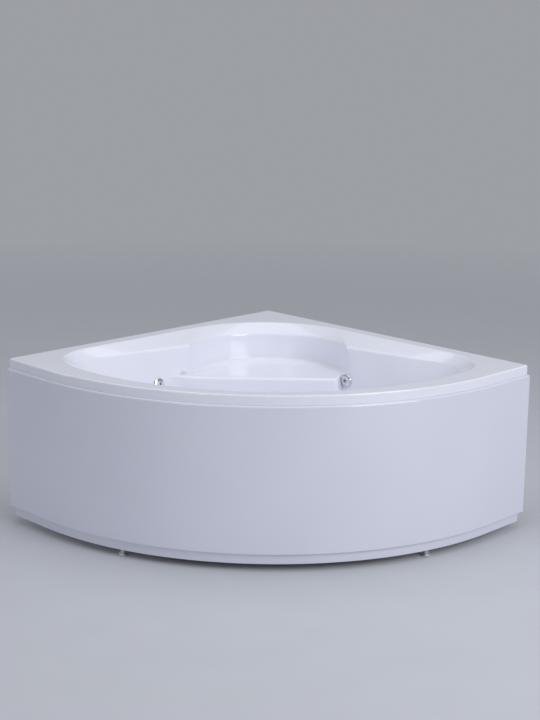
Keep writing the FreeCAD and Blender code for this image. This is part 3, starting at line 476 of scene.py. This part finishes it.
def seatShoulder(side):
    form = shoulders[side]
    mesh = nodes["tub_shell"].data
    corners = [corner.co for corner in mesh.vertices]
    shell = BVHTree.FromPolygons(corners, [face.vertices for face in mesh.polygons])
    step = shoulders["tangentStep"]

    # just behind the face of the wall that shows
    def wallBehind(x, z):
        hit = shell.ray_cast(Vector((x, shoulders["probeY"], z)), Vector((0, 1, 0)))[0]
        return hit.y + shoulders["bury"]

    # plan of the shoulder at one level: a cubic bow from the seat's front to the side wall
    def bow(share, z):
        plane = shoulders["frontY"] + shoulders["frontLean"] * (z - shoulders["frontZ"])
        reach = form["end"] + shoulders["endLean"] * (shoulders["endZ"] - z)
        handles = [Vector((reach + out, plane + back)) for out, back in form["bow"]]
        handles[3].y = wallBehind(form["sign"] * handles[3].x, z)
        left = 1 - share
        weights = (left ** 3, 3 * left * left * share, 3 * left * share * share, share ** 3)
        return sum((handle * weight for handle, weight in zip(handles, weights)), Vector((0, 0)))

    front = len(shoulders["levels"])
    rows = front + shoulders["noseSteps"] + 1
    bpy.ops.object.select_all(action="DESELECT")
    bpy.ops.mesh.primitive_grid_add(x_subdivisions=shoulders["columns"], y_subdivisions=rows - 1, size=2)
    piece = bpy.context.object
    piece.name = side + "SeatShoulder"
    for corner in piece.data.vertices:
        share = (corner.co.x + 1) / 2
        row = round((corner.co.y + 1) / 2 * (rows - 1))
        nose = shoulders["nose"] * (1 - shoulders["noseFade"] * share)
        if row < front:
            z = shoulders["levels"][row]
            inward = 0
        else:
            turn = radians(90 * min(row - front + 1, shoulders["noseSteps"]) / shoulders["noseSteps"])
            z = shoulders["top"] - nose * (1 - sin(turn))
            inward = nose * (1 - cos(turn))
        level = min(z, shoulders["levels"][-1])
        along = bow(min(share + step, 1), level) - bow(max(share - step, 0), level)
        spot = bow(share, level) + Vector((-along.y, along.x)).normalized() * inward
        if row == rows - 1:
            spot += Vector(form["ledge"])
        x = form["sign"] * spot.x
        y = min(spot.y, wallBehind(x, z if row < front else shoulders["overSeat"]))
        if row < front and (row == 0 or share in (0.0, 1.0)):
            y = wallBehind(x, z)
        if row >= front:
            # where the seat itself is already there, the sheet stays just under it
            under = shell.ray_cast(Vector((x, y, shoulders["probeZ"])), Vector((0, 0, -1)))[0]
            if under and under.z > z - shoulders["buryTop"]:
                z = min(z, under.z - shoulders["buryTop"])
        corner.co = (x, y, z)
    onlySelect(piece)
    if piece.data.polygons[len(piece.data.polygons) // 2].normal.y > 0:
        bpy.ops.object.mode_set(mode="EDIT")
        bpy.ops.mesh.select_all(action="SELECT")
        bpy.ops.mesh.flip_normals()
        bpy.ops.object.mode_set(mode="OBJECT")
    sheet = piece.modifiers.new("sheet", "SOLIDIFY")
    sheet.thickness = shoulders["sheet"]
    sheet.offset = -1
    applyAll(piece)
    return piece


tubShell()
for side in ("left", "right"):
    shoulder = seatShoulder(side)
    smoothFaces(shoulder, shoulders["smoothAngle"])
    shoulder.data.materials.append(shellWhite)
    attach(shoulder, bodyOf["tub_shell"])
frontPanel()
print("acrylic shell and panel")

# every other node: merged, its edges broken by a small round, in its own finish
otherLooks = {"edgeAngle": 35, "edgeSegments": 2, "smoothAngle": 35}
edgeRound = {
    "chipboard": 0.0006,
    "zinc_steel": 0.0012,
    "zinc_fixings": 0.0004,
    "foot_steel": 0.0005,
    "chrome": 0.0004,
    "grey_plastic": 0.0006,
    "dark_plastic": 0.0006,
    "black_rubber": 0.0002,
    "motor_paint": 0.0008,
}
otherNodes = [node for node in slotOf if node not in ("tub_shell", "front_panel")]
for node in otherNodes:
    words = node.split("_")
    piece = mergedCopy(node, words[0] + "".join(word.title() for word in words[1:]))
    roundEdges(piece, edgeRound[slotOf[node]], otherLooks["edgeAngle"], otherLooks["edgeSegments"])
    smoothFaces(piece, otherLooks["smoothAngle"])
    dressed(piece, node, finishOf[slotOf[node]])
print("frame, fittings and pump:", len(otherNodes))


# room
room = {
    "floorSize": 60.0,
    "floor": shade(0.60, 0.61, 0.64),
    "floorDrift": shade(0.64, 0.65, 0.68),
    "drift": (5.0, 3.0),
    "floorRough": 0.75,
    "hazeFrom": 2.2,
    "hazeTo": 7.0,
    "world": shade(0.80, 0.83, 0.90),
    "worldStrength": 0.42,
}


def studioFloor():
    bpy.ops.object.select_all(action="DESELECT")
    bpy.ops.mesh.primitive_plane_add(size=room["floorSize"])
    floor = bpy.context.object
    floor.name = "floor"
    finish = Finish("floorMatt", Roughness=room["floorRough"])
    base = finish.mix(finish.noise(*room["drift"]), room["floor"], room["floorDrift"])
    floor.data.materials.append(finish.put(Base_Color=base))
    # far off, the floor that the camera sees fades into the colour of the backdrop, for a soft horizon
    far = finish.node("ShaderNodeVectorMath", {"operation": "LENGTH"}, {0: finish.place}, 1)
    seen = finish.node("ShaderNodeLightPath", {}, {}, "Is Camera Ray")
    share = finish.spread(far, room["hazeFrom"], room["hazeTo"]) * seen
    haze = finish.node("ShaderNodeEmission", {}, {"Color": room["world"], "Strength": room["worldStrength"]})
    matt = Socket(finish, finish.shader.outputs[0])
    blend = finish.node("ShaderNodeMixShader", {}, {0: share, 1: matt, 2: haze})
    finish.tree.links.new(blend.link, finish.tree.nodes["Material Output"].inputs["Surface"])


lamps = {
    "rightWindow": {"place": (3.4, -3.4, 2.6), "aim": (0, -0.2, 0.4), "size": (2.4, 2.8), "power": 84},
    "leftFill": {"place": (-2.6, -4.6, 2.0), "aim": (0, 0, 0.4), "size": (1.3, 1.8), "power": 13},
    "overhead": {"place": (0, -0.4, 4.2), "aim": (0, -0.2, 0.3), "size": (5.0, 4.4), "power": 69},
}
lampTint = (0.94, 0.96, 1.0)


def softLamp(name, place, aim, size, power):
    lamp = bpy.data.lights.new(name, "AREA")
    lamp.shape = "RECTANGLE"
    lamp.size, lamp.size_y = size
    lamp.energy = power
    lamp.color = lampTint
    holder = bpy.data.objects.new(name, lamp)
    holder.location = place
    holder.rotation_euler = (Vector(aim) - Vector(place)).to_track_quat("-Z", "Y").to_euler()
    bpy.context.collection.objects.link(holder)


def studioLight():
    for name, setting in lamps.items():
        softLamp(name, **setting)
    world = bpy.data.worlds.new("studioWorld")
    world.use_nodes = True
    bpy.context.scene.world = world
    backing = world.node_tree.nodes["Background"]
    backing.inputs[0].default_value = room["world"]
    backing.inputs[1].default_value = room["worldStrength"]


# camera at the place from which the photograph was taken
photoCamera = {
    "place": Vector((-0.0358, -6.2081, 2.0555)),
    "yaw": 0.00667,
    "down": 0.22978,
    "roll": 0.01456,
    "focalPixels": 1613.9,
    "framePixels": 720,
    "sensor": 36.0,
}


def cameraAtPhoto():
    yaw = photoCamera["yaw"]
    down = photoCamera["down"]
    roll = photoCamera["roll"]
    forward = Vector((sin(yaw) * cos(down), cos(yaw) * cos(down), -sin(down)))
    right = Vector((cos(yaw), -sin(yaw), 0))
    up = right.cross(forward)
    rolledRight = right * cos(roll) + up * sin(roll)
    rolledUp = up * cos(roll) - right * sin(roll)
    lens = bpy.data.cameras.new("photoCamera")
    lens.sensor_width = photoCamera["sensor"]
    lens.lens = photoCamera["focalPixels"] / photoCamera["framePixels"] * photoCamera["sensor"]
    holder = bpy.data.objects.new("photoCamera", lens)
    turn = Matrix((rolledRight, rolledUp, -forward)).transposed()
    holder.matrix_world = Matrix.Translation(photoCamera["place"]) @ turn.to_4x4()
    bpy.context.collection.objects.link(holder)
    bpy.context.scene.camera = holder


studioFloor()
studioLight()
cameraAtPhoto()
bpy.context.scene.view_settings.view_transform = "Standard"
print("floor, lamps and camera")
